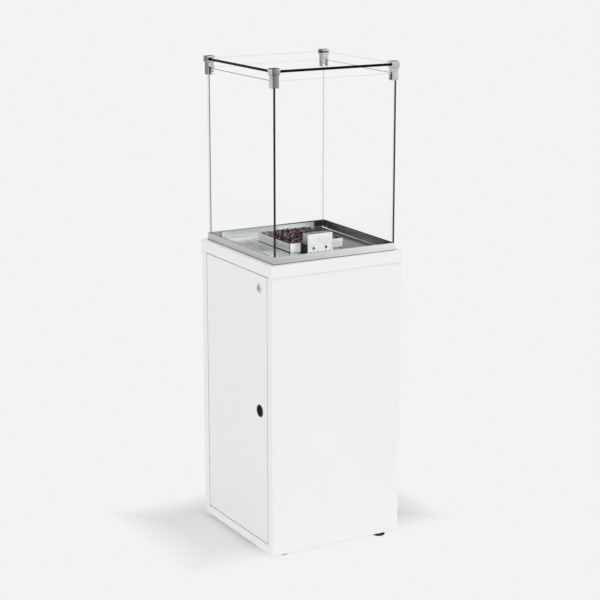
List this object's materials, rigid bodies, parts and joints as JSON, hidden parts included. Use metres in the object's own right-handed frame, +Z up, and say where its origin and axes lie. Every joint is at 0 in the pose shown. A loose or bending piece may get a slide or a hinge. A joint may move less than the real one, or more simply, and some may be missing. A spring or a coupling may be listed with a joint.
{
  "type": "gas fireplace",
  "caption": "Free-standing gas fireplace: square white steel cabinet with a side door, stainless tray, lava-stone burner and clear glass walls and top held by corner clamps.",
  "frame": {"origin": "centre of the object's outline in plan, on the floor that the feet stand on", "axes": "+Z up, -Y is the plain front, -X is the door side, +X is to the right of someone who looks at the front"},
  "size_m": [0.466, 0.466, 1.5244],
  "materials": {
    "white_coat": "satin powder coat",
    "galvanised": "dull zinc",
    "brushed_inox": "fine brushed",
    "polished_inox": "bright rolled",
    "heat_steel": "heat-tinted",
    "plated_steel": "satin plated",
    "bearing_plastic": "natural",
    "black_rubber": "matte",
    "black_plastic": "fine grained",
    "red_plastic": "gloss",
    "pane_glass": "clear toughened",
    "black_steel": "black oxide",
    "lava_rock": "porous stone",
    "white_ceramic": "glazed",
    "copper": "drawn",
    "die_cast": "cast",
    "brass": "turned"
  },
  "bodies": {
    "cabinet": {"base_tray": "white_coat", "front_panel": "white_coat", "back_panel": "white_coat", "side_panel": "white_coat", "bottom_rail": "white_coat", "top_rail": "white_coat", "top_cap": "white_coat", "heat_shield": "galvanised", "pivot_bushes": "bearing_plastic", "door_bumpers": "black_rubber", "foot_nuts": "galvanised", "tray_gasket": "black_rubber", "rim_tray": "brushed_inox", "tray_screws": "brushed_inox", "tray_nuts": "brushed_inox", "floor_pan": "polished_inox", "glass_rails": "polished_inox", "glass_seats": "black_rubber", "pane_front": "pane_glass", "pane_back": "pane_glass", "pane_left": "pane_glass", "pane_right": "pane_glass", "top_glass": "pane_glass", "clamp_front_left": "brushed_inox", "clamp_front_right": "brushed_inox", "clamp_back_left": "brushed_inox", "clamp_back_right": "brushed_inox", "clamp_liners": "black_rubber", "lid_pads": "black_rubber", "clamp_screws": "black_steel", "burner_box": "polished_inox", "burner_grate": "heat_steel", "burner_tube": "heat_steel", "injector_bracket": "galvanised", "burner_injector": "brass", "lava_stones": "lava_rock", "pilot_box": "polished_inox", "pilot_burner": "heat_steel", "thermocouple": "copper", "spark_electrode": "heat_steel", "electrode_ceramic": "white_ceramic", "gas_pipe": "copper", "pilot_pipe": "copper", "gas_valve": "die_cast", "gas_inlet": "brass", "control_panel": "galvanised", "igniter_housing": "black_plastic"},
    "door": {"door_panel": "white_coat", "door_pivots": "plated_steel", "finger_cup": "black_plastic", "lock_housing": "plated_steel", "lock_nut": "galvanised"},
    "lock": {"lock_plug": "plated_steel", "lock_cam": "plated_steel"},
    "knob": {"control_knob": "black_plastic"},
    "igniter": {"igniter_button": "red_plastic"},
    "foot_1": {"foot_door_front": "black_plastic"},
    "foot_2": {"foot_door_back": "black_plastic"},
    "foot_3": {"foot_side_front": "black_plastic"},
    "foot_4": {"foot_side_back": "black_plastic"}
  },
  "joints": [
    {"name": "door_hinge", "type": "hinge", "parent": "cabinet", "child": "door", "pos_m": [-0.222, 0.185, 0.046], "axis": [0, 0, -1], "range_deg": [0, 105]},
    {"name": "lock_turn", "type": "hinge", "parent": "door", "child": "lock", "pos_m": [-0.23, -0.151, 0.857], "axis": [-1, 0, 0], "range_deg": [0, 90]},
    {"name": "knob_turn", "type": "hinge", "parent": "cabinet", "child": "knob", "pos_m": [-0.183, 0.03, 0.825], "axis": [-1, 0, 0], "range_deg": [0, 180]},
    {"name": "igniter_press", "type": "slide", "parent": "cabinet", "child": "igniter", "axis": [1, 0, 0], "range_m": [0, 0.004], "stiffness_N_per_m": 500, "springref_m": -0.002},
    {"name": "foot_1_screw", "type": "slide", "parent": "cabinet", "child": "foot_1", "axis": [0, 0, -1], "range_m": [0, 0.01]},
    {"name": "foot_2_screw", "type": "slide", "parent": "cabinet", "child": "foot_2", "axis": [0, 0, -1], "range_m": [0, 0.01]},
    {"name": "foot_3_screw", "type": "slide", "parent": "cabinet", "child": "foot_3", "axis": [0, 0, -1], "range_m": [0, 0.01]},
    {"name": "foot_4_screw", "type": "slide", "parent": "cabinet", "child": "foot_4", "axis": [0, 0, -1], "range_m": [0, 0.01]}
  ]
}
